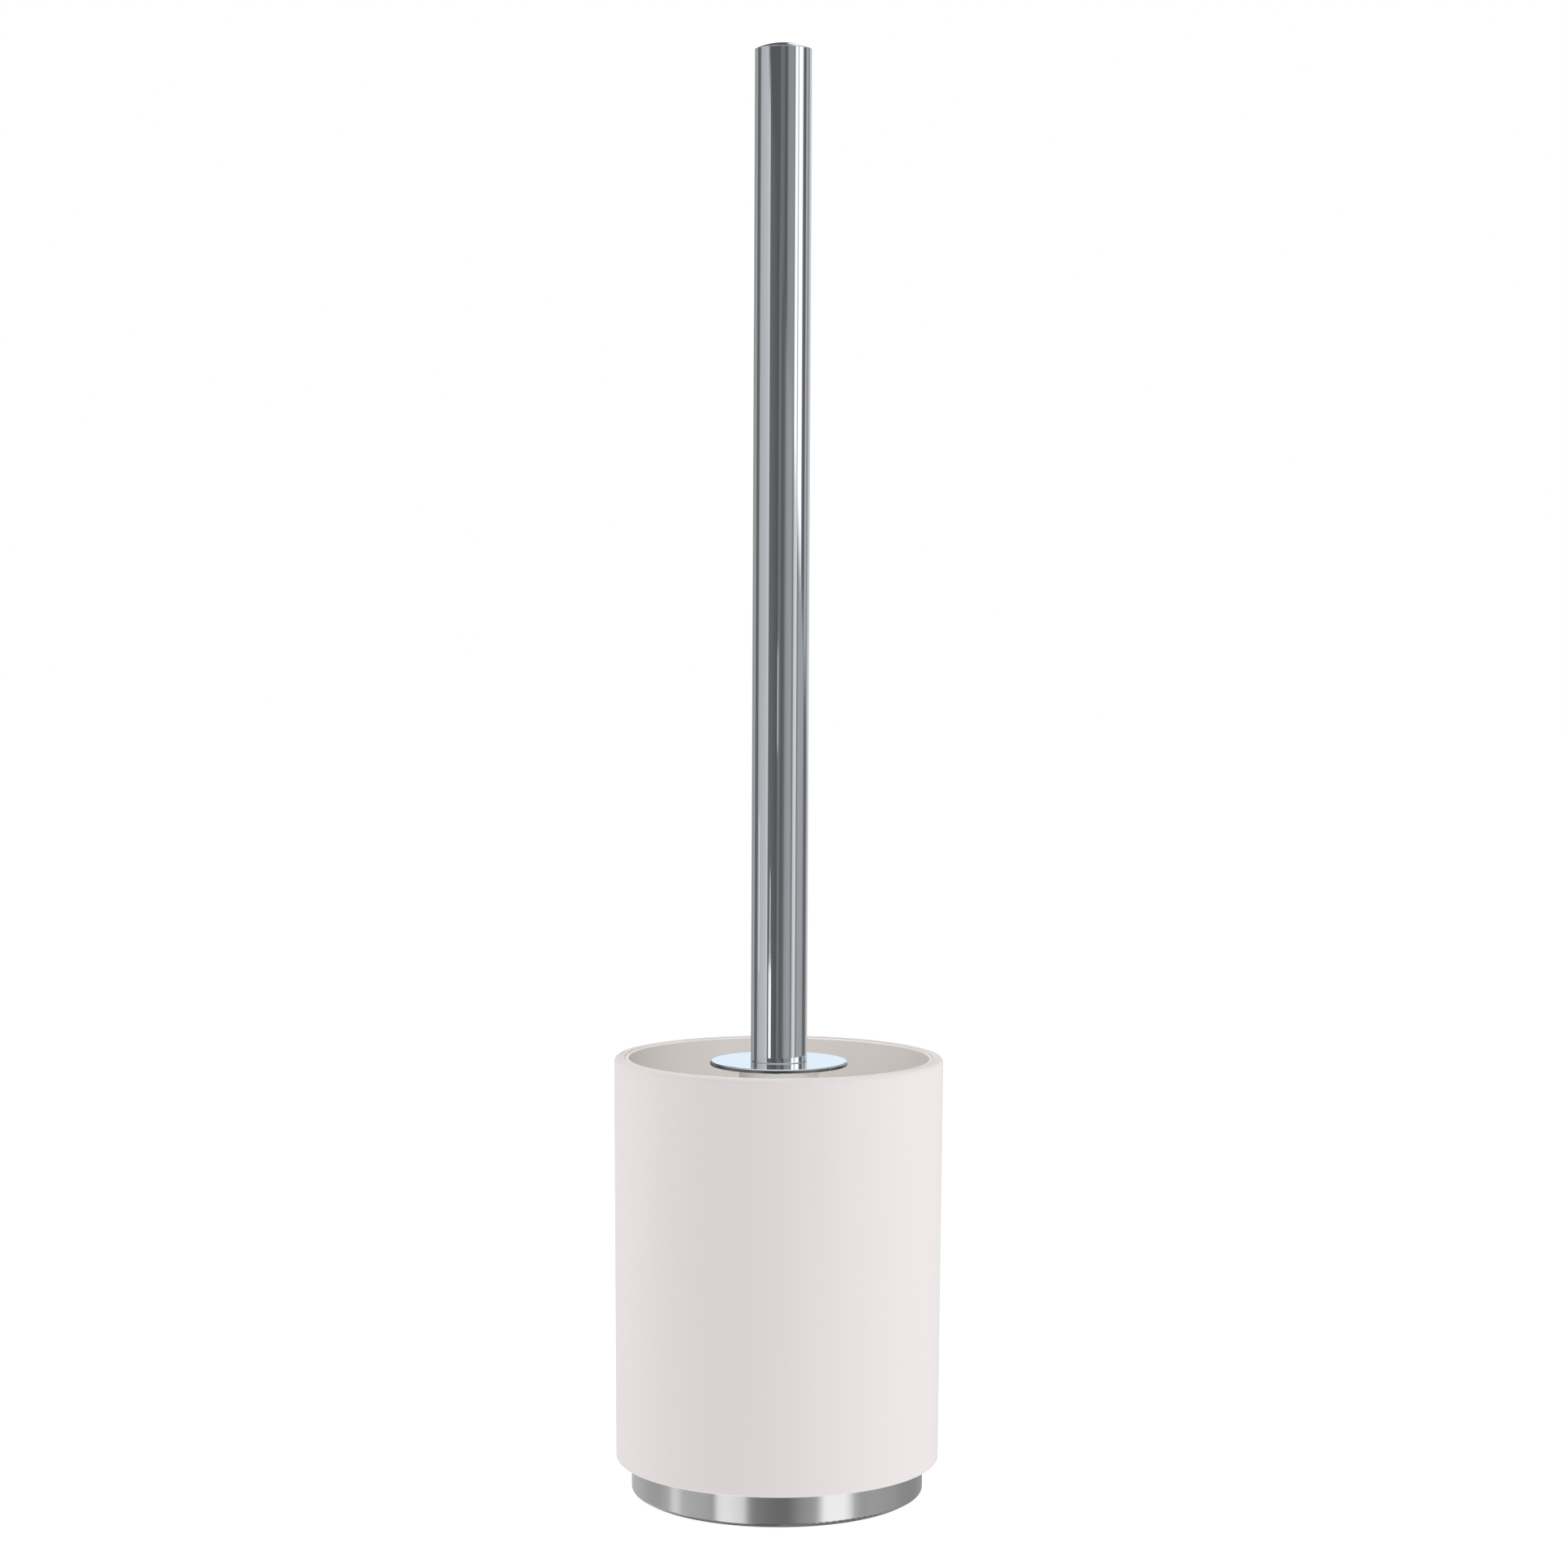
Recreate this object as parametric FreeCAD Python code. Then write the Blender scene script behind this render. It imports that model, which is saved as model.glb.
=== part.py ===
"""Toilet brush and holder: a tapered cup on a steel base ring, a drip liner and a screw-together brush.

Millimetres, +Z up. The origin is the centre of the base, on the surface that the holder stands on.
Every piece is round about the Z axis, apart from what is set out in a circle round it.
"""
import FreeCAD, Part
import math
import os

from FreeCAD import Rotation, Vector

# ---- Driving dimensions ----
OVERALL_HEIGHT = 409.5      # top of the handle's domed cap
RIM_HEIGHT = 124.4          # top of the holder
RIM_RADIUS = 46.8
FOOT_RADIUS = 45.95         # outside of the shell at its lower edge
FOOT_HEIGHT = 9.7           # lower edge of the shell, above which the steel ring disappears
MOUTH_RADIUS = 42.65        # inside of the liner at the rim

SHELL_WALL = 3.05
SHELL_FLOOR = 3.0
RING_SEAT_DEPTH = 2.0       # how far the steel ring enters the underside of the shell
RIM_EDGE_ROUNDING = 1.2
LINER_GAP = 0.2             # all round, between the liner and the shell
LINER_LIP_GAP = 0.1         # the same at the liner's lip, which hides the gap from above
LINER_LIP_HEIGHT = 1.5
LINER_WALL = 0.9
LINER_FLOOR = 1.2

RING_RADIUS = 41.5
STEEL_SHEET = 0.7
RING_FLANGE_WIDTH = 4.0
PAD_THICKNESS = 0.5
PAD_OUTER_RADIUS = 40.2
PAD_INNER_RADIUS = 33.5

PLATE_THICKNESS = 2.9
SCREW_CIRCLE_RADIUS = 26.0
SCREW_COUNT = 3
SCREW_SHANK_RADIUS = 1.45
SCREW_HEAD_RADIUS = 2.9
SCREW_HEAD_HEIGHT = 1.9
SCREW_HEAD_RECESS = 2.2     # depth of the holes that the heads lie in
SCREW_CUP_RADIUS = 6.0
SCREW_CUP_HEIGHT = 1.5      # the plate is thicker round each screw, and the shell's bosses stand on it
SCREW_BOSS_RADIUS = 3.8
FIRST_SCREW_ANGLE = 90
RIB_WIDTH = 1.5
RIB_HEIGHT = 4.5
RIB_HOOP_RADIUS = 14.0

HANDLE_RADIUS = 8.0
TUBE_WALL = 0.8
CAP_DOME_HEIGHT = 1.8
DISC_RADIUS = 19.6
DISC_THICKNESS = 1.2
DISC_TOP = 123.25
DISC_PLAY = 0.05            # above and below the disc, so that it turns freely on the handle
NECK_RADIUS = 11.25
NECK_LENGTH = 9.0           # of the wider top end of the brush core
FLANGE_THICKNESS = 4.0
INSERT_DEPTH = 19.0         # how far the insert goes up into the tube
CAP_PLUG_DEPTH = 9.0
CAP_PLUG_WALL = 1.5

STUD_RADIUS = 4.0
STUD_CLEARANCE = 0.05       # running clearance round the stud in the handle's insert
STUD_REACH = 13.0           # how far the stud stands out of the brush core
STUD_BURIED = 15.0
STUD_CHAMFER = 0.8
STUD_HEAD_RADIUS = 5.2      # to the corners of the hexagon
STUD_HEAD_HEIGHT = 3.0
STUD_HOLE_SPARE = 2.5       # the insert's hole is this much deeper than the stud's reach

BARREL_RADIUS = 11.0
TUFT_ROWS = 9
TUFTS_PER_ROW = 14
ROW_PITCH = 7.25
FIRST_ROW_HEIGHT = 43.0     # also the centre of the core's rounded end
TUFT_ROOT_RADIUS = 1.7
TUFT_TIP_RADIUS = 3.0
TUFT_HOLE_DEPTH = 2.5
TUFT_DOME_HEIGHT = 0.8
BRISTLE_RADIUS = 37.0       # out to the tips of the tufts
TOP_ROW_TRIM = 1.5          # the uppermost row is cut this much shorter

# ---- Small clearances and edges ----
FIT = 0.1                   # between moulded and pressed pieces that are assembled once
SHEET_EDGE = 0.2            # deburred sheet metal
MOULDED_EDGE = 0.3
LIP_EDGE = 0.35             # inside edge of the liner's lip
CLOSE_EDGE = 0.12           # the two edges that face each other across the gap at the rim
RING_CORNER = 0.9           # outside bend of the steel ring's flange
DISC_TOP_EDGE = 0.45
SHELL_CORNER = 2.0          # inside the shell, between wall and floor
LINER_CORNER = 4.0
LINER_LIP_DROP = 0.15       # the liner's edge lies this far below the rim

# ---- Worked out from the driving dimensions ----
SHELL_FLOOR_UNDERSIDE = FOOT_HEIGHT + RING_SEAT_DEPTH
SHELL_FLOOR_TOP = SHELL_FLOOR_UNDERSIDE + SHELL_FLOOR
LINER_FLOOR_TOP = SHELL_FLOOR_TOP + LINER_FLOOR
WALL_DRAFT = (RIM_RADIUS - FOOT_RADIUS) / (RIM_HEIGHT - FOOT_HEIGHT)
FLANGE_TOP = DISC_TOP - DISC_THICKNESS - DISC_PLAY
FLANGE_UNDERSIDE = FLANGE_TOP - FLANGE_THICKNESS
TUBE_BOTTOM = DISC_TOP + DISC_PLAY
TUBE_TOP = OVERALL_HEIGHT - CAP_DOME_HEIGHT
TUBE_BORE_RADIUS = HANDLE_RADIUS - TUBE_WALL
PLATE_TOP = PAD_THICKNESS + PLATE_THICKNESS
PLATE_STEP = PAD_THICKNESS + STEEL_SHEET    # the plate's edge lies on the ring's flange
CUP_TOP = PLATE_TOP + SCREW_CUP_HEIGHT
SCREW_SEAT = PAD_THICKNESS + SCREW_HEAD_RECESS
SCREW_TIP = SHELL_FLOOR_TOP - 1.5

# tufts in each ring on the rounded end, their angle from straight down, and how far their tips are
END_TUFT_RINGS = [
    (1, 0, FIRST_ROW_HEIGHT - LINER_FLOOR_TOP - 0.1),
    (6, 32, 29.0),
    (11, 61, 35.5),
]

UP = Vector(0, 0, 1)
ORIGIN = Vector(0, 0, 0)


def shell_radius(height):
    """Outside radius of the tapered shell at a height."""
    return RIM_RADIUS - WALL_DRAFT * (RIM_HEIGHT - height)


def rounded_outline(corners):
    """A closed wire in the XZ plane through (x, z, rounding) corners."""
    points = []
    for index, (x, z, rounding) in enumerate(corners):
        before = corners[index - 1]
        after = corners[(index + 1) % len(corners)]
        here = Vector(x, 0, z)
        if not rounding:
            points.append((here,))
            continue
        back = (Vector(before[0], 0, before[1]) - here).normalize()
        forward = (Vector(after[0], 0, after[1]) - here).normalize()
        half_angle = back.getAngle(forward) / 2
        setback = rounding / math.tan(half_angle)
        depth = rounding / math.sin(half_angle) - rounding
        middle = here + (back + forward).normalize() * depth
        points.append((here + back * setback, middle, here + forward * setback))
    edges = []
    for index, corner in enumerate(points):
        if len(corner) == 3:
            edges.append(Part.Arc(*corner).toShape())
        start = corner[-1]
        end = points[(index + 1) % len(points)][0]
        if start.distanceToPoint(end) > 1e-6:
            edges.append(Part.LineSegment(start, end).toShape())
    return Part.Wire(edges)


def turned(*corners):
    """A solid turned about the Z axis from (radius, height, rounding) corners of its section."""
    return Part.Face(rounded_outline(corners)).revolve(ORIGIN, UP, 360)


def circle_of(shape, count, first_angle=0.0):
    """Copies of a shape set out evenly round the Z axis."""
    copies = []
    for index in range(count):
        copy = shape.copy()
        copy.rotate(ORIGIN, UP, first_angle + index * 360 / count)
        copies.append(copy)
    return copies


def rod(radius, bottom, top, x=0.0):
    """An upright cylinder whose axis stands at x on the X axis."""
    return Part.makeCylinder(radius, top - bottom, Vector(x, 0, bottom), UP)


def sphere_radius(edge_radius, height):
    """Radius of the sphere that a dome of this edge radius and height is cut from."""
    return (edge_radius ** 2 + height ** 2) / (2 * height)


def outer_shell():
    """The matte cup: a drafted wall, a closed floor, a seat for the steel ring and three screw bosses."""
    seat_radius = RING_RADIUS + FIT
    bore_at_rim = RIM_RADIUS - SHELL_WALL
    bore_at_floor = shell_radius(SHELL_FLOOR_TOP) - SHELL_WALL
    shell = turned(
        (0, SHELL_FLOOR_UNDERSIDE, 0),
        (seat_radius, SHELL_FLOOR_UNDERSIDE, 0),
        (seat_radius, FOOT_HEIGHT, MOULDED_EDGE),
        (FOOT_RADIUS, FOOT_HEIGHT, 2 * MOULDED_EDGE),
        (RIM_RADIUS, RIM_HEIGHT, RIM_EDGE_ROUNDING),
        (bore_at_rim, RIM_HEIGHT, CLOSE_EDGE),
        (bore_at_floor, SHELL_FLOOR_TOP, SHELL_CORNER),
        (0, SHELL_FLOOR_TOP, 0),
    )
    boss = rod(SCREW_BOSS_RADIUS, CUP_TOP, SHELL_FLOOR_UNDERSIDE, SCREW_CIRCLE_RADIUS)
    pilot = rod(SCREW_SHANK_RADIUS, CUP_TOP, SCREW_TIP + SHEET_EDGE, SCREW_CIRCLE_RADIUS)
    shell = shell.fuse(circle_of(boss, SCREW_COUNT, FIRST_SCREW_ANGLE))
    return shell.cut(circle_of(pilot, SCREW_COUNT, FIRST_SCREW_ANGLE))


def base_ring():
    """The brushed strip, an L in section: an upright band with a flange turned in under the base plate."""
    inside = RING_RADIUS - STEEL_SHEET
    flange_edge = RING_RADIUS - RING_FLANGE_WIDTH
    return turned(
        (flange_edge, PAD_THICKNESS, SHEET_EDGE),
        (RING_RADIUS, PAD_THICKNESS, RING_CORNER),
        (RING_RADIUS, SHELL_FLOOR_UNDERSIDE, SHEET_EDGE),
        (inside, SHELL_FLOOR_UNDERSIDE, SHEET_EDGE),
        (inside, PLATE_STEP, RING_CORNER - STEEL_SHEET),
        (flange_edge, PLATE_STEP, SHEET_EDGE),
    )


def base_plate():
    """The moulded plate inside the ring, stepped over its flange, with ribs and three screw cups."""
    step_radius = RING_RADIUS - RING_FLANGE_WIDTH - FIT
    edge_radius = RING_RADIUS - STEEL_SHEET - FIT
    rib_top = PLATE_TOP + RIB_HEIGHT
    plate = turned(
        (0, PAD_THICKNESS, 0),
        (step_radius, PAD_THICKNESS, 0),
        (step_radius, PLATE_STEP, 0),
        (edge_radius, PLATE_STEP, MOULDED_EDGE),
        (edge_radius, PLATE_TOP, MOULDED_EDGE),
        (0, PLATE_TOP, 0),
    )
    cup = rod(SCREW_CUP_RADIUS, PLATE_TOP, CUP_TOP, SCREW_CIRCLE_RADIUS)
    hoop = rod(RIB_HOOP_RADIUS, PLATE_TOP, rib_top).cut(rod(RIB_HOOP_RADIUS - RIB_WIDTH, PLATE_TOP, rib_top))
    spoke_start = RIB_HOOP_RADIUS - RIB_WIDTH / 2
    spoke_length = edge_radius - 2 * RIB_WIDTH - spoke_start
    spoke = Part.makeBox(spoke_length, RIB_WIDTH, RIB_HEIGHT, Vector(spoke_start, -RIB_WIDTH / 2, PLATE_TOP))
    cups = circle_of(cup, SCREW_COUNT, FIRST_SCREW_ANGLE)
    spokes = circle_of(spoke, SCREW_COUNT, FIRST_SCREW_ANGLE + 180 / SCREW_COUNT)
    head_hole = rod(SCREW_HEAD_RADIUS + 3 * FIT, PAD_THICKNESS, SCREW_SEAT, SCREW_CIRCLE_RADIUS)
    shank_hole = rod(SCREW_SHANK_RADIUS + 2 * FIT, PAD_THICKNESS, CUP_TOP, SCREW_CIRCLE_RADIUS)
    holes = circle_of(head_hole.fuse(shank_hole), SCREW_COUNT, FIRST_SCREW_ANGLE)
    return plate.fuse(cups + spokes + [hoop]).cut(holes)


def base_screws():
    """Three self-tapping screws with domed, cross-recessed heads."""
    head_bottom = SCREW_SEAT - SCREW_HEAD_HEIGHT
    head_rounding = 0.8
    point_length = 1.2
    point_radius = 0.3
    screw = turned(
        (0, head_bottom, 0),
        (SCREW_HEAD_RADIUS, head_bottom, head_rounding),
        (SCREW_HEAD_RADIUS, SCREW_SEAT, 0),
        (SCREW_SHANK_RADIUS, SCREW_SEAT, 0),
        (SCREW_SHANK_RADIUS, SCREW_TIP - point_length, 0),
        (point_radius, SCREW_TIP, 0),
        (0, SCREW_TIP, 0),
    )
    recess_length = 3.2
    recess_width = 0.8
    recess_depth = 1.0
    slot = Part.makeBox(
        recess_length, recess_width, recess_depth,
        Vector(-recess_length / 2, -recess_width / 2, head_bottom),
    )
    crossed_slot = slot.copy()
    crossed_slot.rotate(ORIGIN, UP, 90)
    screw = screw.cut([slot, crossed_slot])
    screw.translate(Vector(SCREW_CIRCLE_RADIUS, 0, 0))
    return Part.makeCompound(circle_of(screw, SCREW_COUNT, FIRST_SCREW_ANGLE))


def anti_slip_ring():
    """The soft flat ring that the holder stands on, stuck under the flange and the plate."""
    return turned(
        (PAD_INNER_RADIUS, 0, MOULDED_EDGE),
        (PAD_OUTER_RADIUS, 0, MOULDED_EDGE),
        (PAD_OUTER_RADIUS, PAD_THICKNESS, 0),
        (PAD_INNER_RADIUS, PAD_THICKNESS, 0),
    )


def inner_liner():
    """The removable drip liner: a thin tub that stands on the shell's floor, its lip just below the rim."""
    top = RIM_HEIGHT - LINER_LIP_DROP
    lip_underside = top - LINER_LIP_HEIGHT
    bore_at_lip = shell_radius(lip_underside) - SHELL_WALL
    outside_at_floor = shell_radius(SHELL_FLOOR_TOP) - SHELL_WALL - LINER_GAP
    return turned(
        (0, SHELL_FLOOR_TOP, 0),
        (outside_at_floor, SHELL_FLOOR_TOP, LINER_CORNER),
        (bore_at_lip - LINER_GAP, lip_underside, 0),
        (bore_at_lip - LINER_LIP_GAP, lip_underside + LINER_GAP, 0),
        (shell_radius(top) - SHELL_WALL - LINER_LIP_GAP, top, CLOSE_EDGE),
        (MOUTH_RADIUS, top, LIP_EDGE),
        (outside_at_floor - LINER_WALL, LINER_FLOOR_TOP, LINER_CORNER - LINER_WALL),
        (0, LINER_FLOOR_TOP, 0),
    )


def tuft(length):
    """A tuft of bristles along +X from the Z axis: a round root, then a cone that spreads to a domed tip."""
    root = BARREL_RADIUS - TUFT_HOLE_DEPTH
    dome_radius = sphere_radius(TUFT_TIP_RADIUS, TUFT_DOME_HEIGHT)
    dome_centre = Vector(length - dome_radius, 0, 0)
    half_way = math.asin(TUFT_TIP_RADIUS / dome_radius) / 2
    corners = [
        Vector(root, 0, 0),
        Vector(root, 0, TUFT_ROOT_RADIUS),
        Vector(BARREL_RADIUS, 0, TUFT_ROOT_RADIUS),
        Vector(length - TUFT_DOME_HEIGHT, 0, TUFT_TIP_RADIUS),
    ]
    tip = Vector(length, 0, 0)
    dome_middle = dome_centre + Vector(math.cos(half_way), 0, math.sin(half_way)) * dome_radius
    edges = [Part.LineSegment(start, end) for start, end in zip(corners, corners[1:])]
    edges += [Part.Arc(corners[-1], dome_middle, tip), Part.LineSegment(tip, corners[0])]
    face = Part.Face(Part.Wire([edge.toShape() for edge in edges]))
    return face.revolve(ORIGIN, Vector(1, 0, 0), 360)


def bristle_row(index):
    """One ring of tufts. Alternate rings are turned half a step."""
    length = BRISTLE_RADIUS - (TOP_ROW_TRIM if index == TUFT_ROWS - 1 else 0)
    one = tuft(length)
    one.translate(Vector(0, 0, FIRST_ROW_HEIGHT + index * ROW_PITCH))
    half_step = 180 / TUFTS_PER_ROW
    return Part.makeCompound(circle_of(one, TUFTS_PER_ROW, half_step * (index % 2)))


def end_tufts():
    """The tufts over the rounded end of the core, fanning out from its centre and standing on the liner."""
    tufts = []
    for count, angle_from_down, length in END_TUFT_RINGS:
        one = tuft(length)
        one.rotate(ORIGIN, Vector(0, 1, 0), 90 - angle_from_down)
        one.translate(Vector(0, 0, FIRST_ROW_HEIGHT))
        tufts += circle_of(one, count)
    return Part.makeCompound(tufts)


def threaded_stud():
    """The metal stud, its hexagonal head and half its length buried in the brush core."""
    buried_end = FLANGE_UNDERSIDE - STUD_BURIED
    tip = FLANGE_UNDERSIDE + STUD_REACH
    corner = Vector(STUD_HEAD_RADIUS, 0, buried_end)
    hexagon = [Rotation(UP, side * 60).multVec(corner) for side in range(7)]
    head = Part.Face(Part.makePolygon(hexagon)).extrude(UP * STUD_HEAD_HEIGHT)
    shank = turned(
        (0, buried_end, 0),
        (STUD_RADIUS, buried_end, 0),
        (STUD_RADIUS, tip - STUD_CHAMFER, 0),
        (STUD_RADIUS - STUD_CHAMFER, tip, 0),
        (0, tip, 0),
    )
    return head.fuse(shank).removeSplitter()


def brush_core(buried):
    """The moulded stem: a barrel with a rounded end, a slightly wider neck, and a hole for every tuft."""
    shoulder = FLANGE_UNDERSIDE - NECK_LENGTH
    chamfer = 2 * (NECK_RADIUS - BARREL_RADIUS)
    barrel = rod(BARREL_RADIUS, FIRST_ROW_HEIGHT, shoulder)
    rounded_end = Part.makeSphere(BARREL_RADIUS, Vector(0, 0, FIRST_ROW_HEIGHT))
    neck = turned(
        (0, shoulder, 0),
        (BARREL_RADIUS, shoulder, 0),
        (NECK_RADIUS, shoulder + chamfer, 0),
        (NECK_RADIUS, FLANGE_UNDERSIDE, MOULDED_EDGE),
        (0, FLANGE_UNDERSIDE, 0),
    )
    core = barrel.fuse([rounded_end, neck]).removeSplitter()
    return core.cut(buried)


def splash_disc():
    """The thin mirror disc, free to turn between the end of the tube and the insert's flange."""
    hole_radius = TUBE_BORE_RADIUS + FIT
    underside = DISC_TOP - DISC_THICKNESS
    return turned(
        (hole_radius, underside, 0),
        (DISC_RADIUS, underside, SHEET_EDGE),
        (DISC_RADIUS, DISC_TOP, DISC_TOP_EDGE),
        (hole_radius, DISC_TOP, 0),
    )


def handle_tube():
    """The polished tube."""
    return turned(
        (TUBE_BORE_RADIUS, TUBE_BOTTOM, 0),
        (HANDLE_RADIUS, TUBE_BOTTOM, SHEET_EDGE),
        (HANDLE_RADIUS, TUBE_TOP, SHEET_EDGE),
        (TUBE_BORE_RADIUS, TUBE_TOP, 0),
    )


def end_cap():
    """The domed cap: a shallow spherical top on a hollow plug that is pressed into the tube."""
    plug_bottom = TUBE_TOP - CAP_PLUG_DEPTH
    hollow_radius = TUBE_BORE_RADIUS - CAP_PLUG_WALL
    dome_radius = sphere_radius(HANDLE_RADIUS, CAP_DOME_HEIGHT)
    dome_centre = Vector(0, 0, OVERALL_HEIGHT - dome_radius)
    dome = Part.makeSphere(dome_radius, dome_centre).common(rod(HANDLE_RADIUS, TUBE_TOP, OVERALL_HEIGHT))
    plug = turned(
        (hollow_radius, plug_bottom, 0),
        (TUBE_BORE_RADIUS, plug_bottom, 2 * MOULDED_EDGE),
        (TUBE_BORE_RADIUS, TUBE_TOP, 0),
        (0, TUBE_TOP, 0),
        (0, TUBE_TOP - CAP_PLUG_WALL, 0),
        (hollow_radius, TUBE_TOP - CAP_PLUG_WALL, 2 * MOULDED_EDGE),
    )
    return dome.fuse(plug).removeSplitter()


def threaded_insert():
    """The flanged plug in the tube's lower end, with the blind hole that takes the stud."""
    plug_top = TUBE_BOTTOM + INSERT_DEPTH
    hole_radius = STUD_RADIUS + STUD_CLEARANCE
    hole_top = FLANGE_UNDERSIDE + STUD_REACH + STUD_HOLE_SPARE
    return turned(
        (hole_radius, FLANGE_UNDERSIDE, MOULDED_EDGE),
        (NECK_RADIUS, FLANGE_UNDERSIDE, MOULDED_EDGE),
        (NECK_RADIUS, FLANGE_TOP, MOULDED_EDGE),
        (TUBE_BORE_RADIUS, FLANGE_TOP, 0),
        (TUBE_BORE_RADIUS, plug_top, 2 * MOULDED_EDGE),
        (0, plug_top, 0),
        (0, hole_top, 0),
        (hole_radius, hole_top, 0),
    )


def all_nodes():
    """Every piece of the set, by name."""
    nodes = {
        "outer_shell": outer_shell(),
        "base_ring": base_ring(),
        "base_plate": base_plate(),
        "base_screws": base_screws(),
        "anti_slip_ring": anti_slip_ring(),
        "inner_liner": inner_liner(),
        "threaded_stud": threaded_stud(),
        "splash_disc": splash_disc(),
        "handle_tube": handle_tube(),
        "end_cap": end_cap(),
        "threaded_insert": threaded_insert(),
        "bristle_end_tufts": end_tufts(),
    }
    for index in range(TUFT_ROWS):
        nodes[f"bristle_row_{index + 1:02d}"] = bristle_row(index)
    buried = [nodes["threaded_stud"]]
    for name, shape in nodes.items():
        if name.startswith("bristle"):
            buried += shape.Solids
    nodes["brush_core"] = brush_core(buried)
    return nodes


os.makedirs("parts", exist_ok=True)
for name, shape in sorted(all_nodes().items()):
    shape.exportStep(f"parts/{name}.step")
    print(f"{name:20s} solids {len(shape.Solids):3d}  valid {shape.isValid()}  volume {shape.Volume:10.1f}")
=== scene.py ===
"""The looks of the toilet brush and its holder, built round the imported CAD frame. Metres, +Z up."""
import math
import random

import bpy
from mathutils import Matrix, Vector


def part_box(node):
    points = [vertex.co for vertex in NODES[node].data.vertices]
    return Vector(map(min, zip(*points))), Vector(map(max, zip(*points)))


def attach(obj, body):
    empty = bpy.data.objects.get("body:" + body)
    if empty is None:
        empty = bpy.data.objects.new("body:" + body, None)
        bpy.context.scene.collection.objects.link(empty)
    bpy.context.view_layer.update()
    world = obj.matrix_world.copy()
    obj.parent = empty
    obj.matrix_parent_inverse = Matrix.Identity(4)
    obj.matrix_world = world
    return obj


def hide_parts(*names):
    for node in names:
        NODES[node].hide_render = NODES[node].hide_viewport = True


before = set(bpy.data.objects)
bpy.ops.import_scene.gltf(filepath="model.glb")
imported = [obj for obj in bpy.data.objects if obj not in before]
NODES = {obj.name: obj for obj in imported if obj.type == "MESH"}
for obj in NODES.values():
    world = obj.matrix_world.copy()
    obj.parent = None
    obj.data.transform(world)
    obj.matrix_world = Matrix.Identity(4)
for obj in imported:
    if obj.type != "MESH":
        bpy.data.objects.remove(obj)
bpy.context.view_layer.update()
ROW_NODES = sorted(name for name in NODES if name.startswith("bristle_row"))

MM = 0.001
SEED = 20


# ---- Camera: a short telephoto above the rim that looks a little down, as the photograph was taken ----
CAMERA_LENS = 74.5
CAMERA_SENSOR = 36.0
CAMERA_PLACE = Vector((1.1, -917.6, 250.2)) * MM
CAMERA_TILT_DOWN = 3.01
CAMERA_ROLL = 0.27


def make_camera():
    data = bpy.data.cameras.new("camera")
    data.lens = CAMERA_LENS
    data.sensor_width = CAMERA_SENSOR
    data.clip_start = 0.01
    data.clip_end = 50
    camera = bpy.data.objects.new("camera", data)
    level = Matrix.Rotation(math.radians(90 - CAMERA_TILT_DOWN), 4, "X")
    roll = Matrix.Rotation(math.radians(CAMERA_ROLL), 4, "Z")
    camera.matrix_world = Matrix.Translation(CAMERA_PLACE) @ level @ roll
    bpy.context.scene.collection.objects.link(camera)
    bpy.context.scene.camera = camera


# ---- Node tree helpers ----
class Tree:
    """A node tree that is written as nested calls. Each call makes a node and returns its output."""

    def __init__(self, owner):
        owner.use_nodes = True
        self.nodes = owner.node_tree.nodes
        self.links = owner.node_tree.links

    def feed(self, socket, value):
        if isinstance(value, bpy.types.NodeSocket):
            self.links.new(value, socket)
        elif value is not None:
            socket.default_value = value

    def node(self, kind, inputs=(), output=0, **settings):
        made = self.nodes.new(kind)
        for name, value in settings.items():
            setattr(made, name, value)
        for key, value in dict(inputs).items():
            self.feed(made.inputs[key], value)
        return made.outputs[output]

    def math(self, operation, first, second=None, third=None):
        inputs = {0: first, 1: second, 2: third}
        used = {key: value for key, value in inputs.items() if value is not None}
        return self.node("ShaderNodeMath", used, operation=operation)

    def place(self):
        """The point on the surface, in metres. CAD nodes and pieces have their origins at the row's."""
        return self.node("ShaderNodeTexCoord", output="Object")

    def split(self, vector):
        made = self.nodes.new("ShaderNodeSeparateXYZ")
        self.links.new(vector, made.inputs[0])
        return made.outputs

    def joined(self, x, y, z):
        return self.node("ShaderNodeCombineXYZ", {0: x, 1: y, 2: z})

    def noise(self, vector, scale, detail=3.0, roughness=0.5):
        inputs = {"Vector": vector, "Scale": scale, "Detail": detail, "Roughness": roughness}
        return self.node("ShaderNodeTexNoise", inputs)

    def spread(self, value, low, high):
        """A 0 to 1 value spread over low to high."""
        return self.node("ShaderNodeMapRange", {"Value": value, "To Min": low, "To Max": high})

    def blend(self, factor, first, second):
        """Goes from one colour to another. Each is a link or a colour with its alpha."""
        made = self.nodes.new("ShaderNodeMix")
        made.data_type = "RGBA"
        for name, value in (("Factor", factor), ("A", first), ("B", second)):
            self.feed(made.inputs[name], value)
        return next(socket for socket in made.outputs if socket.enabled)

    def tint(self, factor, dark, light):
        """A colour between two plain colours."""
        return self.blend(factor, (*dark, 1), (*light, 1))

    def bump(self, height, distance, strength=1.0):
        return self.node("ShaderNodeBump", {"Height": height, "Distance": distance, "Strength": strength})

    def step(self, value, start, end):
        """0 before start and 1 after end, with a smooth rise between them."""
        inputs = {"Value": value, "From Min": start, "From Max": end}
        return self.node("ShaderNodeMapRange", inputs, interpolation_type="SMOOTHSTEP")

    def between(self, value, low, high):
        """1 from low to high, and 0 elsewhere."""
        middle, reach = (low + high) / 2, (high - low) / 2
        return self.math("COMPARE", value, middle, reach)


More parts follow.
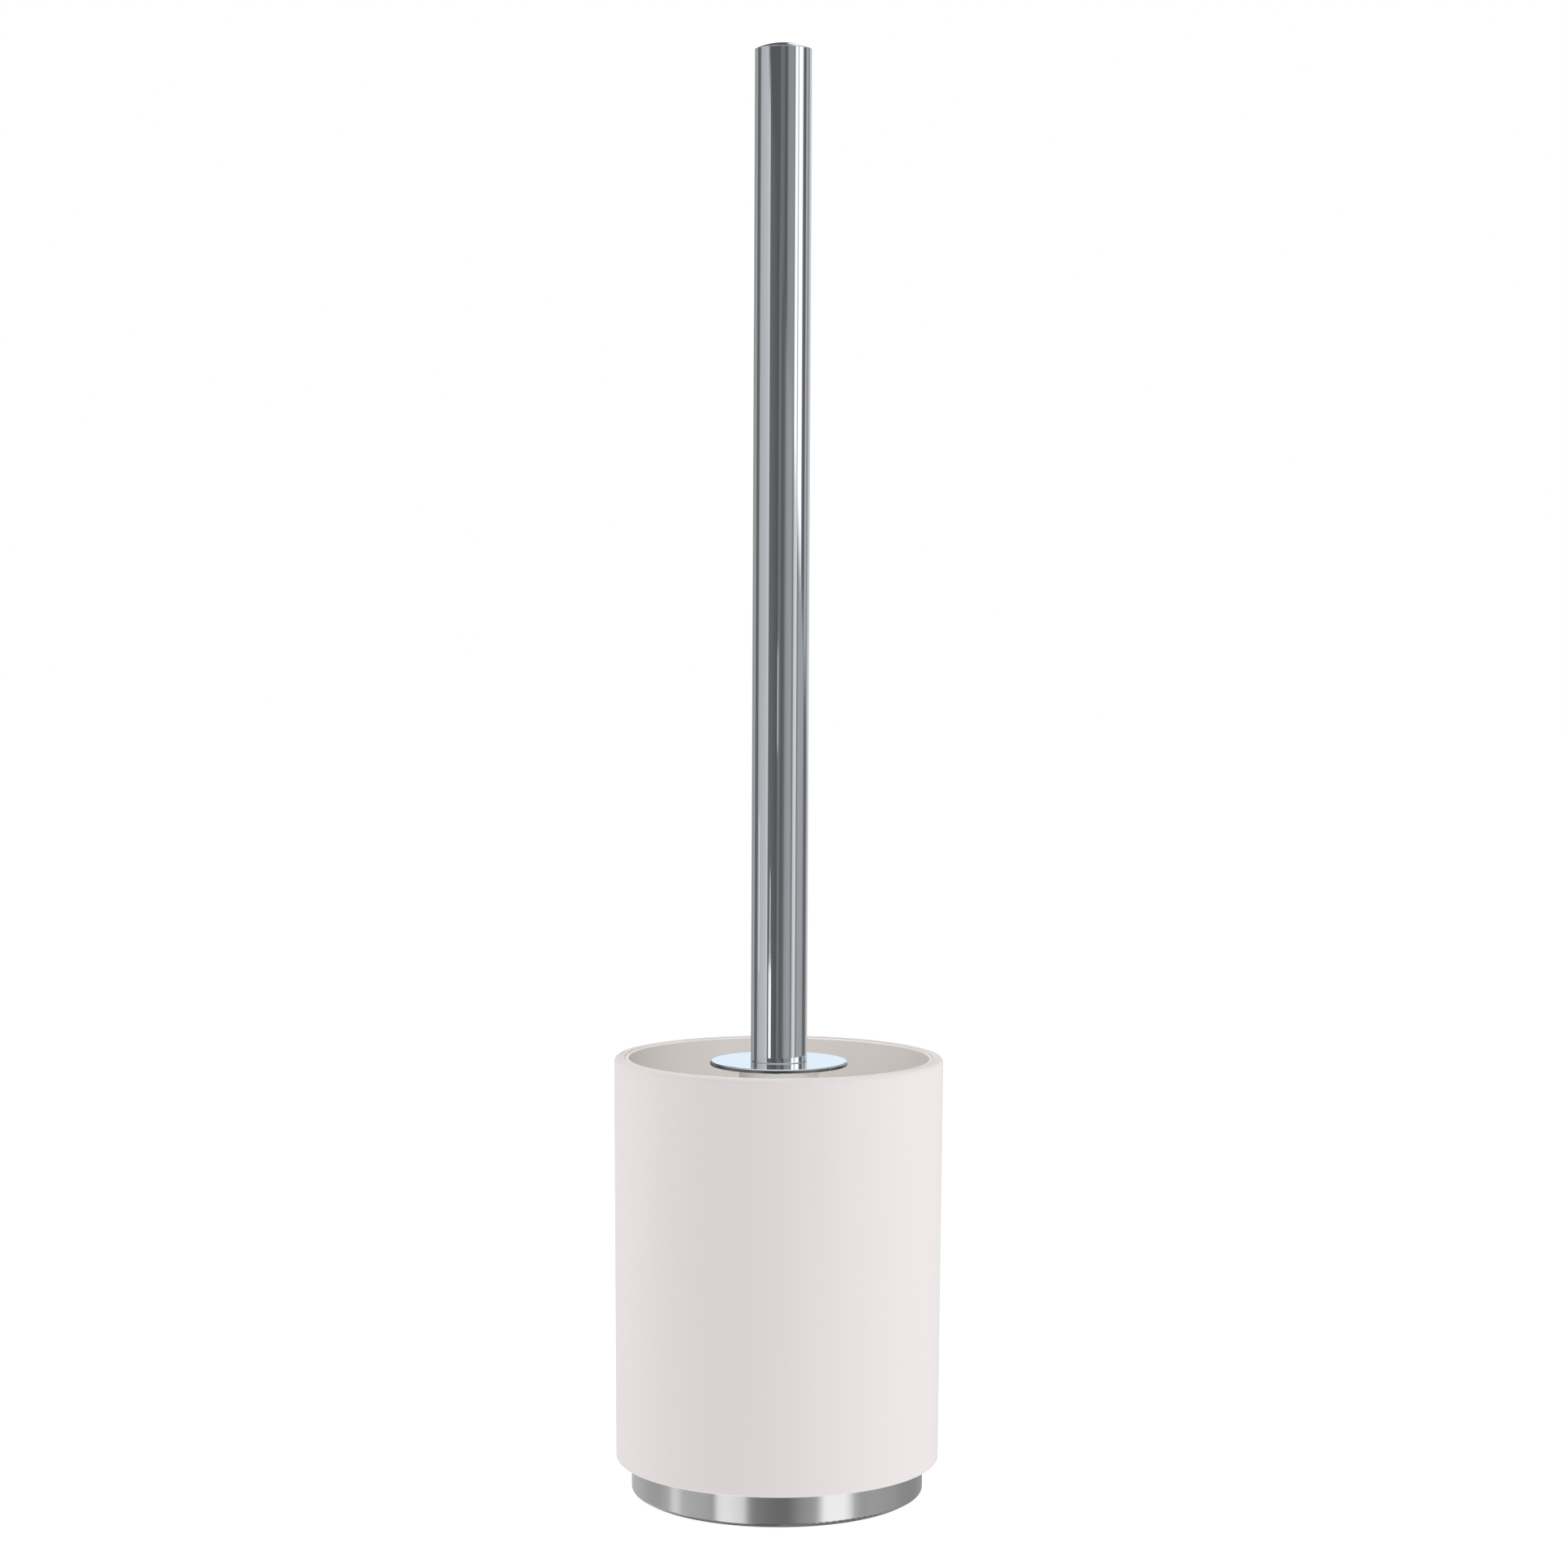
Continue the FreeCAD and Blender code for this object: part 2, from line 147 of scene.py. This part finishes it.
def new_material(name, **values):
    """A Principled material with constant values on its own sockets, and its tree."""
    material = bpy.data.materials.new(name)
    tree = Tree(material)
    shader = tree.nodes["Principled BSDF"]
    for socket, value in values.items():
        shader.inputs[socket.replace("_", " ")].default_value = value
    return material, tree, shader.inputs


def around_and_up(tree, around_scale, up_scale):
    """Coordinates that wrap round the Z axis, for marks that run round a turned or moulded piece."""
    x, y, z = tree.split(tree.place())
    angle = tree.math("ARCTAN2", y, x)
    around_x = tree.math("MULTIPLY", tree.math("COSINE", angle), around_scale)
    around_y = tree.math("MULTIPLY", tree.math("SINE", angle), around_scale)
    return tree.joined(around_x, around_y, tree.math("MULTIPLY", z, up_scale))


# ---- Materials ----
def shell_material():
    """Soft-touch matte plastic, pinkish white, with a fine even grain."""
    material, tree, sockets = new_material("shell_matte", Roughness=0.6, Specular_IOR_Level=0.35)
    place = tree.place()
    cloud = tree.noise(place, scale=18.0, detail=2.0)
    tree.feed(sockets["Base Color"], tree.tint(cloud, (0.838, 0.778, 0.776), (0.853, 0.793, 0.791)))
    grain = tree.noise(place, scale=2600.0, detail=2.0)
    tree.feed(sockets["Roughness"], tree.spread(grain, 0.55, 0.66))
    tree.feed(sockets["Normal"], tree.bump(grain, distance=0.02 * MM, strength=0.35))
    return material


def liner_material():
    """Warm grey-beige polypropylene, smoother than the shell."""
    material, tree, sockets = new_material("liner_plastic", Roughness=0.45, Specular_IOR_Level=0.4)
    flow = tree.noise(around_and_up(tree, around_scale=1.5, up_scale=14.0), scale=3.0)
    tree.feed(sockets["Base Color"], tree.tint(flow, (0.745, 0.708, 0.672), (0.775, 0.738, 0.702)))
    grain = tree.noise(tree.place(), scale=1800.0, detail=2.0)
    tree.feed(sockets["Roughness"], tree.spread(grain, 0.42, 0.54))
    tree.feed(sockets["Normal"], tree.bump(grain, distance=0.015 * MM, strength=0.3))
    return material


def moulded_material(name, dark, light, rough=0.45):
    """Plain moulded plastic with faint clouding and a satin grain."""
    material, tree, sockets = new_material(name, Roughness=rough, Specular_IOR_Level=0.45)
    cloud = tree.noise(tree.place(), scale=60.0)
    tree.feed(sockets["Base Color"], tree.tint(cloud, dark, light))
    grain = tree.noise(tree.place(), scale=2200.0, detail=2.0)
    tree.feed(sockets["Roughness"], tree.spread(grain, rough - 0.05, rough + 0.08))
    tree.feed(sockets["Normal"], tree.bump(grain, distance=0.02 * MM, strength=0.3))
    return material


def brushed_steel_material(name, dark, light, rough):
    """Steel with fine scratches that run round the piece, so that highlights spread up and down."""
    material, tree, sockets = new_material(
        name, Metallic=1.0, Roughness=rough, Anisotropic=0.85, Anisotropic_Rotation=0.25,
    )
    across = around_and_up(tree, around_scale=1.2, up_scale=9000.0)
    lines = tree.noise(across, scale=1.0, detail=4.0, roughness=0.7)
    tree.feed(sockets["Base Color"], tree.tint(lines, dark, light))
    tree.feed(sockets["Roughness"], tree.spread(lines, rough - 0.07, rough + 0.07))
    tree.feed(sockets["Normal"], tree.bump(lines, distance=0.01 * MM, strength=0.4))
    tree.feed(sockets["Tangent"], tree.node("ShaderNodeTangent", direction_type="RADIAL", axis="Z"))
    return material


def chrome_material(name, colour):
    """Polished chrome: a mirror with the faintest haze where hands have wiped it."""
    material, tree, sockets = new_material(name, Metallic=1.0, Roughness=0.03)
    wipes = tree.noise(around_and_up(tree, around_scale=1.0, up_scale=30.0), scale=6.0, detail=5.0)
    dimmed = tuple(channel * 0.97 for channel in colour)
    tree.feed(sockets["Base Color"], tree.tint(wipes, dimmed, colour))
    tree.feed(sockets["Roughness"], tree.spread(wipes, 0.015, 0.06))
    return material


def disc_material():
    """Mirror-polished sheet with a rougher edge where it was stamped out; the edge's dark base colour is
    painted shade.
    """
    material, tree, sockets = new_material("disc_mirror", Metallic=1.0, Roughness=0.03)
    upright = tree.split(tree.node("ShaderNodeTexCoord", output="Normal"))[2]
    flatness = tree.step(tree.math("ABSOLUTE", upright), 0.25, 0.6)
    # painted shade: the base colour goes dark where the surface turns away from flat, along the disc's edge
    tree.feed(sockets["Base Color"], tree.tint(flatness, (0.20, 0.21, 0.22), (0.90, 0.93, 0.96)))
    wipes = tree.noise(tree.place(), scale=90.0, detail=4.0)
    smeared = tree.spread(wipes, 0.015, 0.05)
    rough_edge = tree.math("MULTIPLY", tree.math("SUBTRACT", 1.0, flatness), 0.22)
    tree.feed(sockets["Roughness"], tree.math("ADD", smeared, rough_edge))
    return material


def rubber_material():
    """Dark closed-cell foam rubber."""
    material, tree, sockets = new_material("pad_foam", Roughness=0.85, Specular_IOR_Level=0.25)
    cells = tree.noise(tree.place(), scale=1500.0)
    tree.feed(sockets["Base Color"], tree.tint(cells, (0.085, 0.085, 0.087), (0.135, 0.134, 0.133)))
    tree.feed(sockets["Normal"], tree.bump(cells, distance=0.08 * MM, strength=0.6))
    return material


def bristle_material():
    """Off-white nylon filaments, each of a slightly different shade."""
    material, tree, sockets = new_material("bristle_nylon", Roughness=0.38, Specular_IOR_Level=0.5)
    each = tree.node("ShaderNodeNewGeometry", output="Random Per Island")
    along = tree.noise(tree.place(), scale=250.0, detail=1.0)
    shade = tree.math("MULTIPLY_ADD", each, 0.7, tree.math("MULTIPLY", along, 0.3))
    tree.feed(sockets["Base Color"], tree.tint(shade, (0.88, 0.875, 0.86), (0.97, 0.965, 0.955)))
    return material


def dress(node, material):
    """Gives a CAD node a better material, in every slot it has."""
    for slot in NODES[node].material_slots:
        slot.material = material


# Colours for the materials that share a recipe: the darkest and the lightest, and for chrome the lightest
BEIGE = ((0.85, 0.815, 0.78), (0.89, 0.855, 0.82))
GREY = ((0.38, 0.37, 0.36), (0.44, 0.43, 0.42))
STAINLESS = ((0.66, 0.66, 0.665), (0.78, 0.78, 0.785))
BRIGHT_ZINC = ((0.52, 0.52, 0.52), (0.62, 0.62, 0.61))
DULL_ZINC = ((0.50, 0.50, 0.49), (0.66, 0.66, 0.65))
CHROME = (0.90, 0.935, 0.985)


def dress_nodes():
    """A better material for every CAD node that stays in sight."""
    dress("outer_shell", shell_material())
    dress("inner_liner", liner_material())
    dress("base_ring", brushed_steel_material("ring_brushed", *STAINLESS, rough=0.20))
    dress("base_plate", moulded_material("plate_plastic", *GREY))
    dress("base_screws", brushed_steel_material("screw_zinc", *BRIGHT_ZINC, rough=0.35))
    dress("anti_slip_ring", rubber_material())
    dress("brush_core", moulded_material("core_plastic", *BEIGE))
    dress("threaded_insert", moulded_material("insert_plastic", *BEIGE))
    dress("splash_disc", disc_material())
    handle_chrome = chrome_material("handle_chrome", CHROME)
    dress("handle_tube", handle_chrome)
    dress("end_cap", handle_chrome)


# ---- The brush: filaments in place of the CAD's plain tufts ----
TUFTS_PER_ROW = 14
TUFT_ROOT = 8.6 * MM            # from the axis: the tufts start inside the core's holes
TUFT_ROOT_SPREAD = 1.45 * MM
TUFT_TIP_SPREAD = 2.75 * MM
FILAMENTS_PER_TUFT = 48
FILAMENT_RADIUS = 0.19 * MM
FILAMENT_SIDES = 5
FILAMENT_RINGS = [(0.0, 1.0), (0.35, 1.0), (0.7, 1.0), (0.985, 0.95), (1.0, 0.5)]   # share along, thickness
TRIM_UNEVENNESS = 0.7 * MM
BEND = 1.1 * MM
STRAY_CHANCE = 0.06             # filaments that wear has bent further than the rest
STRAY_BEND = 3.2 * MM
FLOOR_CLEARANCE = 0.12 * MM     # between the lowest tips and the CAD tufts' lowest point
END_TUFT_RINGS = [(6, 32, 29.0 * MM), (11, 61, 35.5 * MM)]     # count, angle from straight down, reach
GOLDEN_ANGLE = math.pi * (3 - math.sqrt(5))


def add_tube_faces(faces, first, rings, corners):
    """The faces of a closed tube, whose vertices are rings of corners from the vertex first on."""
    for ring in range(rings - 1):
        start = first + ring * corners
        above = start + corners
        for corner in range(corners):
            beside = (corner + 1) % corners
            faces.append((start + corner, start + beside, above + beside, above + corner))
    last = first + (rings - 1) * corners
    faces.append(tuple(range(first + corners - 1, first - 1, -1)))
    faces.append(tuple(range(last, last + corners)))


def add_filament(vertices, faces, root, tip, bend):
    """One closed, gently bent filament with a rounded tip."""
    along = (tip - root).normalized()
    side = along.orthogonal().normalized()
    other = along.cross(side)
    first = len(vertices)
    for share, thickness in FILAMENT_RINGS:
        centre = root.lerp(tip, share) + bend * (share * share)
        for corner in range(FILAMENT_SIDES):
            angle = math.tau * corner / FILAMENT_SIDES
            outward = side * math.cos(angle) + other * math.sin(angle)
            vertices.append(centre + outward * (FILAMENT_RADIUS * thickness))
    add_tube_faces(faces, first, len(FILAMENT_RINGS), FILAMENT_SIDES)


def add_tuft(vertices, faces, rng, centre, direction, reach, lowest):
    """A tuft of filaments that fan out from one hole, trimmed to reach from the centre."""
    side = direction.orthogonal().normalized()
    other = direction.cross(side)
    for index in range(FILAMENTS_PER_TUFT):
        spread = math.sqrt((index + 0.5) / FILAMENTS_PER_TUFT)
        angle = index * GOLDEN_ANGLE + rng.uniform(-0.25, 0.25)
        across = side * math.cos(angle) + other * math.sin(angle)
        root = centre + direction * TUFT_ROOT + across * (spread * TUFT_ROOT_SPREAD)
        fan = spread * TUFT_TIP_SPREAD * rng.uniform(0.86, 1.0)
        trimmed = reach - rng.uniform(0, TRIM_UNEVENNESS) - FILAMENT_RADIUS
        tip = centre + (direction * trimmed + across * fan).normalized() * trimmed
        bend_size = STRAY_BEND if rng.random() < STRAY_CHANCE else BEND
        turn = rng.uniform(0, math.tau)
        bend = (side * math.cos(turn) + other * math.sin(turn)) * bend_size * rng.uniform(0.1, 1.0)
        end = tip + bend
        tip += (centre - end).normalized() * max((end - centre).length - trimmed, 0)
        drop = lowest + FILAMENT_RADIUS - (tip + bend).z
        if drop > 0:
            tip.z += drop
        add_filament(vertices, faces, root, tip, bend)


def mesh_piece(name, vertices, faces, material, slot, replaced):
    """A smooth-shaded piece on the brush head that stands for one CAD node."""
    mesh = bpy.data.meshes.new(name)
    mesh.from_pydata(vertices, [], faces)
    mesh.validate()
    mesh.materials.append(material)
    mesh.shade_smooth()
    piece = bpy.data.objects.new(name, mesh)
    bpy.context.scene.collection.objects.link(piece)
    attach(piece, "brush_head")
    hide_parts(replaced)
    return piece


def row_centre(node):
    """Where the tufts of one CAD ring meet, on the core's axis."""
    low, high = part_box(node)
    return Vector((0, 0, (low.z + high.z) / 2))


def row_of_filaments(rng, node, half_step, lowest):
    """The filaments of one ring of tufts, which may be turned by half the step between its tufts."""
    centre = row_centre(node)
    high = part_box(node)[1]
    reach = max(high.x, high.y)
    vertices, faces = [], []
    for tuft in range(TUFTS_PER_ROW):
        angle = math.tau * (tuft + 0.5 * half_step) / TUFTS_PER_ROW
        direction = Vector((math.cos(angle), math.sin(angle), 0))
        add_tuft(vertices, faces, rng, centre, direction, reach, lowest)
    return vertices, faces


def end_filaments(rng, lowest):
    """The filaments below the lowest ring: one tuft straight down, and rings of tufts round it."""
    centre = row_centre(ROW_NODES[0])
    vertices, faces = [], []
    add_tuft(vertices, faces, rng, centre, Vector((0, 0, -1)), centre.z - lowest, lowest)
    for count, from_down, reach in END_TUFT_RINGS:
        outward = math.sin(math.radians(from_down))
        downward = math.cos(math.radians(from_down))
        for tuft in range(count):
            angle = math.tau * tuft / count
            direction = Vector((outward * math.cos(angle), outward * math.sin(angle), -downward))
            add_tuft(vertices, faces, rng, centre, direction, reach, lowest)
    return vertices, faces


def make_bristles():
    """Every CAD ring of tufts as filaments, set out as in the CAD, alternate rings turned half a step."""
    nylon = bristle_material()
    rng = random.Random(SEED)
    pieces = []
    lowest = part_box("bristle_end_tufts")[0].z + FLOOR_CLEARANCE
    for index, node in enumerate(ROW_NODES):
        skin = row_of_filaments(rng, node, index % 2, lowest)
        pieces.append(mesh_piece(node.replace("row", "filaments"), *skin, nylon, "bristles", node))
    skin = end_filaments(rng, lowest)
    pieces.append(mesh_piece("bristle_filaments_end", *skin, nylon, "bristles", "bristle_end_tufts"))
    return pieces


# ---- The stud: its thread is cut in full here ----
THREAD_PITCH = 1.25 * MM
THREAD_DEPTH = 0.65 * MM
THREAD_CREST = 0.14             # the flat crest's share of the pitch
THREAD_ROOT = 0.22              # the flat root's share, and what is left is the two slopes
THREAD_STEPS = 10               # rings to one turn of the thread
STUD_CORNERS = 72               # round the stud, a multiple of the hexagon's 6
STUD_RADIUS = 3.98 * MM         # over the crests
STUD_CHAMFER = 0.85 * MM
STUD_HEAD_RADIUS = 5.2 * MM     # to the corners of the hexagon
STUD_HEAD_HEIGHT = 3.0 * MM
SHARP_EDGE = math.radians(32)   # edges that turn by more than this are shaded as sharp


def thread_depth(phase):
    """How deep the groove is, as a share, at a place along one pitch from 0 to 1."""
    slope = (1 - THREAD_CREST - THREAD_ROOT) / 2
    if phase < THREAD_CREST:
        return 0.0
    if phase < THREAD_CREST + slope:
        return (phase - THREAD_CREST) / slope
    if phase < THREAD_CREST + slope + THREAD_ROOT:
        return 1.0
    return (1 - phase) / slope


def stud_radius(angle, height, top):
    """The threaded shank's radius at a place on it, chamfered at the top."""
    phase = (height / THREAD_PITCH - angle / math.tau) % 1.0
    threaded = STUD_RADIUS - THREAD_DEPTH * thread_depth(phase)
    return min(threaded, STUD_RADIUS - STUD_CHAMFER + (top - height))


def hexagon_radius(angle):
    """How far a hexagonal head reaches at an angle."""
    flat = math.cos(math.pi / 6) * STUD_HEAD_RADIUS
    return flat / math.cos((angle % (math.pi / 3)) - math.pi / 6)


def make_stud():
    """An M8 stud with a hexagonal head, as one closed skin of rings."""
    low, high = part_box("threaded_stud")
    shoulder = low.z + STUD_HEAD_HEIGHT
    angles = [math.tau * corner / STUD_CORNERS for corner in range(STUD_CORNERS)]
    hexagon = [hexagon_radius(angle) for angle in angles]
    rings = [(low.z, hexagon), (shoulder, hexagon)]
    count = math.ceil((high.z - shoulder) / THREAD_PITCH * THREAD_STEPS)
    for step in range(count + 1):
        height = shoulder + (high.z - shoulder) * step / count
        rings.append((height, [stud_radius(angle, height, high.z) for angle in angles]))
    vertices, faces = [], []
    for height, radii in rings:
        for angle, radius in zip(angles, radii):
            vertices.append((radius * math.cos(angle), radius * math.sin(angle), height))
    add_tube_faces(faces, 0, len(rings), STUD_CORNERS)
    steel = brushed_steel_material("stud_zinc", *DULL_ZINC, rough=0.30)
    stud = mesh_piece("stud_thread", vertices, faces, steel, "stud_steel", "threaded_stud")
    stud.data.set_sharp_from_angle(angle=SHARP_EDGE)


# ---- Studio ----
# What mirrors see round the object is a ring of upright cards and flags, as in product photography. Each
# list gives brightness by direction, in degrees from the camera's side, positive to the right, and straight
# ramps join them. Seen by the camera, the handle's upper half mirrors the first list, its lower half the
# second, and the steel ring the third.
UPPER_CARDS = [
    (-180, 0.45), (-160, 0.36), (-150, 0.16), (-132, 0.20), (-125, 0.12), (-100, 0.12),
    (-96, 0.49), (-62, 0.51), (-58, 0.10), (-11, 0.10), (-8, 0.17), (6, 0.16),
    (9, 0.10), (16, 0.10), (23, 0.27), (45, 0.30), (47, 0.20), (50, 0.20),
    (53, 1.15), (63, 1.10), (65, 0.28), (67, 0.28), (69, 1.15), (86, 1.15),
    (89, 0.40), (94, 0.12), (106, 0.11), (113, 0.50), (125, 0.27), (132, 0.28),
    (142, 0.60), (180, 0.62),
]
LOWER_CARDS = [
    (-180, 0.36), (-150, 0.30), (-128, 0.40), (-122, 0.13), (-105, 0.13), (-99, 0.44),
    (-59, 0.53), (-56, 0.62), (-53, 0.62), (-50, 0.14), (-36, 0.13), (-14, 0.09),
    (-11, 0.18), (-5, 0.18), (2, 0.10), (12, 0.14), (20, 0.30), (35, 0.36),
    (44, 0.31), (47, 0.18), (50, 0.20), (53, 0.56), (65, 0.74), (69, 0.22),
    (73, 0.24), (77, 0.36), (105, 0.36), (112, 0.14), (130, 0.14), (137, 0.32),
    (145, 0.52), (180, 0.58),
]
RING_CARDS = [
    (-180, 0.58), (-134, 0.52), (-102, 0.48), (-94, 0.52), (-91, 0.95), (-84, 0.95),
    (-81, 0.56), (-60, 0.48), (-51, 0.36), (-48, 1.30), (-26, 1.20), (-22, 0.40),
    (-15, 0.27), (-7, 0.21), (9, 0.20), (20, 0.36), (32, 0.45), (38, 1.50),
    (55, 1.48), (58, 1.15), (61, 1.15), (63, 0.44), (100, 0.42), (140, 0.32), (180, 0.36),
]
# The degrees above level over which one part of the room gives way to the next, from the top down
CEILING_HEIGHT = (48.0, 62.0)
MID_HEIGHT = (0.4, 2.0)         # upper cards, then lower cards
RING_HEIGHT = (-12.0, -9.0)     # lower cards, then ring cards
GROUND_HEIGHT = (-50.0, -36.0)  # ring cards, then the lower cards again, dimmed, as a floor mirrors them
CEILING_COLOUR = (0.85, 0.85, 0.85)
GROUND_SHARE = 0.6              # of the lower cards' brightness
MID_SLANT = 0.06                # the upper cards start lower to the right, by this many degrees per degree
MID_SLANT_CENTRE = 79
# Patches of that room: left and right in degrees from the camera's side, bottom and top, and the colour
PATCHES = [
    ((0, 115), (13.5, 60.0), (0.62, 0.65, 0.69)),       # the pale upper wall beside the camera, on its right
    ((245, 360), (13.5, 60.0), (0.58, 0.61, 0.65)),     # and on its left
    ((172, 188), (5.0, 10.5), (0.80, 0.89, 1.0)),       # a window straight behind, which the disc mirrors
    ((150, 210), (11.0, 50.0), (0.10, 0.105, 0.11)),    # the dark wall over it, which the domed cap mirrors
    ((171, 178.5), (13.0, 34.0), (1.0, 1.02, 1.02)),    # a lamp on that wall
    ((186.5, 188), (30.0, 50.0), (1.0, 1.0, 1.0)),      # and a narrow one beside it
    ((347, 351), (-2.4, -0.6), (0.58, 0.60, 0.62)),     # short streaks on the lower handle
    ((265, 269), (-6.3, -3.6), (0.75, 0.78, 0.80)),
    ((319, 323), (-6.2, -4.6), (0.60, 0.61, 0.62)),
    ((315, 326), (-9.0, -6.2), (1.0, 1.0, 1.0)),
]
AMBIENT = (0.44, 0.44, 0.445)   # what matte surfaces are lit by from all round
CAMERA_WHITE = (1.0, 1.0, 1.0)


def card_ring(tree, turn, cards):
    """The brightness of one ring of cards, by turn: 0 and 1 are straight behind the object."""
    ramp = tree.nodes.new("ShaderNodeValToRGB")
    stops = ramp.color_ramp.elements
    while len(stops) < len(cards):
        stops.new(1.0)
    for stop, (degrees, level) in zip(stops, cards):
        stop.position = degrees / 360 + 0.5
        stop.color = (level, level, level, 1)
    tree.links.new(turn, ramp.inputs[0])
    return ramp.outputs[0]


def mirrored_room(tree):
    """The room as a mirror sees it, by direction."""
    x, y, z = tree.split(tree.node("ShaderNodeTexCoord", output="Generated"))
    angle = tree.math("DEGREES", tree.math("ARCTAN2", x, tree.math("MULTIPLY", y, -1.0)))
    height = tree.math("DEGREES", tree.math("ARCSINE", z))
    turn = tree.math("ADD", tree.math("DIVIDE", angle, 360.0), 0.5)

    aside = tree.math("SUBTRACT", angle, float(MID_SLANT_CENTRE))
    slanted = tree.math("MULTIPLY_ADD", aside, MID_SLANT, height)
    is_upper = tree.step(slanted, *MID_HEIGHT)
    lower = card_ring(tree, turn, LOWER_CARDS)
    room = tree.blend(is_upper, lower, card_ring(tree, turn, UPPER_CARDS))
    room = tree.blend(tree.step(height, *RING_HEIGHT), card_ring(tree, turn, RING_CARDS), room)
    ground = tree.math("MULTIPLY", lower, GROUND_SHARE)
    room = tree.blend(tree.step(height, *GROUND_HEIGHT), ground, room)

    full_angle = tree.math("FLOORED_MODULO", angle, 360.0)
    for across, upward, colour in PATCHES:
        inside = tree.math("MULTIPLY", tree.between(full_angle, *across), tree.between(height, *upward))
        room = tree.blend(inside, room, (*colour, 1))
    return tree.blend(tree.step(height, *CEILING_HEIGHT), room, (*CEILING_COLOUR, 1))


def make_world():
    """White to the camera, even and soft to matte surfaces, and a room of cards to mirrors."""
    world = bpy.data.worlds.new("studio")
    bpy.context.scene.world = world
    tree = Tree(world)
    world.cycles.sampling_method = "NONE"   # only reflections see the cards, so none is sampled as a lamp
    ray = tree.nodes.new("ShaderNodeLightPath")
    shades = []
    for colour in ((*AMBIENT, 1), mirrored_room(tree), (*CAMERA_WHITE, 1)):
        shades.append(tree.node("ShaderNodeBackground", {"Color": colour}))
    unseen = tree.node("ShaderNodeMixShader", {0: ray.outputs["Is Glossy Ray"], 1: shades[0], 2: shades[1]})
    shown = tree.node("ShaderNodeMixShader", {0: ray.outputs["Is Camera Ray"], 1: unseen, 2: shades[2]})
    tree.links.new(shown, tree.nodes["World Output"].inputs["Surface"])


FLOOR_RADIUS = 6.0
FLOOR_DROP = 0.05 * MM              # so that it doesn't lie in the same plane as the anti-slip ring
FLOOR_COLOUR = (0.20, 0.20, 0.20)   # dark, so that the lamps and shadows change it little
FLOOR_GLOW = 0.93                   # its own light, so that it reads as white paper lit from below


def make_floor():
    """A pale seamless floor, left out of reflections as the retoucher of such a picture leaves it out."""
    bpy.ops.mesh.primitive_circle_add(vertices=96, radius=FLOOR_RADIUS, fill_type="NGON")
    floor = bpy.context.object
    floor.location.z = -FLOOR_DROP
    floor.name = "floor"
    floor.visible_glossy = False
    material, tree, sockets = new_material("floor_white", Roughness=0.9, Specular_IOR_Level=0.0)
    sockets["Base Color"].default_value = (*FLOOR_COLOUR, 1)
    sockets["Emission Color"].default_value = (1, 1, 1, 1)
    sockets["Emission Strength"].default_value = FLOOR_GLOW
    floor.data.materials.append(material)


LAMP_DISTANCE = 1.75                    # from the point that every lamp aims at
LAMP_AIM = Vector((0, 0, 120)) * MM     # just below the rim


def make_softbox(name, direction, height, power, size=0.9, colour=(1, 1, 1)):
    """A square soft light, by degrees round from the camera's side and up. Mirrors don't see it."""
    data = bpy.data.lights.new(name, "AREA")
    data.shape = "SQUARE"
    data.size = size
    data.energy = power
    data.color = colour
    lamp = bpy.data.objects.new(name, data)
    around = math.radians(direction)
    up = math.radians(height)
    away = Vector((math.sin(around) * math.cos(up), -math.cos(around) * math.cos(up), math.sin(up)))
    lamp.location = LAMP_AIM + away * LAMP_DISTANCE
    lamp.rotation_mode = "QUATERNION"
    lamp.rotation_quaternion = (-away).to_track_quat("-Z", "Y")
    lamp.visible_glossy = False
    lamp.visible_camera = False
    bpy.context.scene.collection.objects.link(lamp)
    return lamp


def group(name, members):
    """A collection outside the scene, which a lamp's light linking needs."""
    made = bpy.data.collections.new(name)
    for member in members:
        made.objects.link(member)
    return made


def fill_the_mouth(bristles):
    """A lamp for the inside of the mouth alone, in which the handle and the disc cast no shadow."""
    lamp = make_softbox("mouth_fill", direction=11, height=38, power=19.2, size=1.5)
    wall = NODES["inner_liner"]
    stem = [NODES["brush_core"], NODES["threaded_insert"]]
    lamp.light_linking.receiver_collection = group("mouth_lit", [wall, *stem, *bristles])
    lamp.light_linking.blocker_collection = group("mouth_shading", [wall, *bristles])


def shield(lamp, members):
    """Keeps a lamp's light off some pieces."""
    lamp.light_linking.receiver_collection = group(lamp.name + "_shielded", members)
    for item in lamp.light_linking.receiver_collection.collection_objects:
        item.light_linking.link_state = "EXCLUDE"


def make_studio(bristles):
    """World, floor and lamps. Mirrors see neither the shell nor the liner, as in the photograph."""
    make_world()
    make_floor()
    key = make_softbox("key_right", direction=80, height=24, power=9.4, colour=(0.97, 1.0, 1.0))
    shield(key, [NODES["inner_liner"]])
    make_softbox("fill_left", direction=-115, height=28, power=9.4)
    make_softbox("overhead", direction=0, height=86, power=12.5, size=2.2)
    fill_the_mouth(bristles)
    for node in ("outer_shell", "inner_liner"):
        NODES[node].visible_glossy = False
    bpy.context.scene.view_settings.view_transform = "Standard"


make_camera()
dress_nodes()
bristles = make_bristles()
make_stud()
make_studio(bristles)
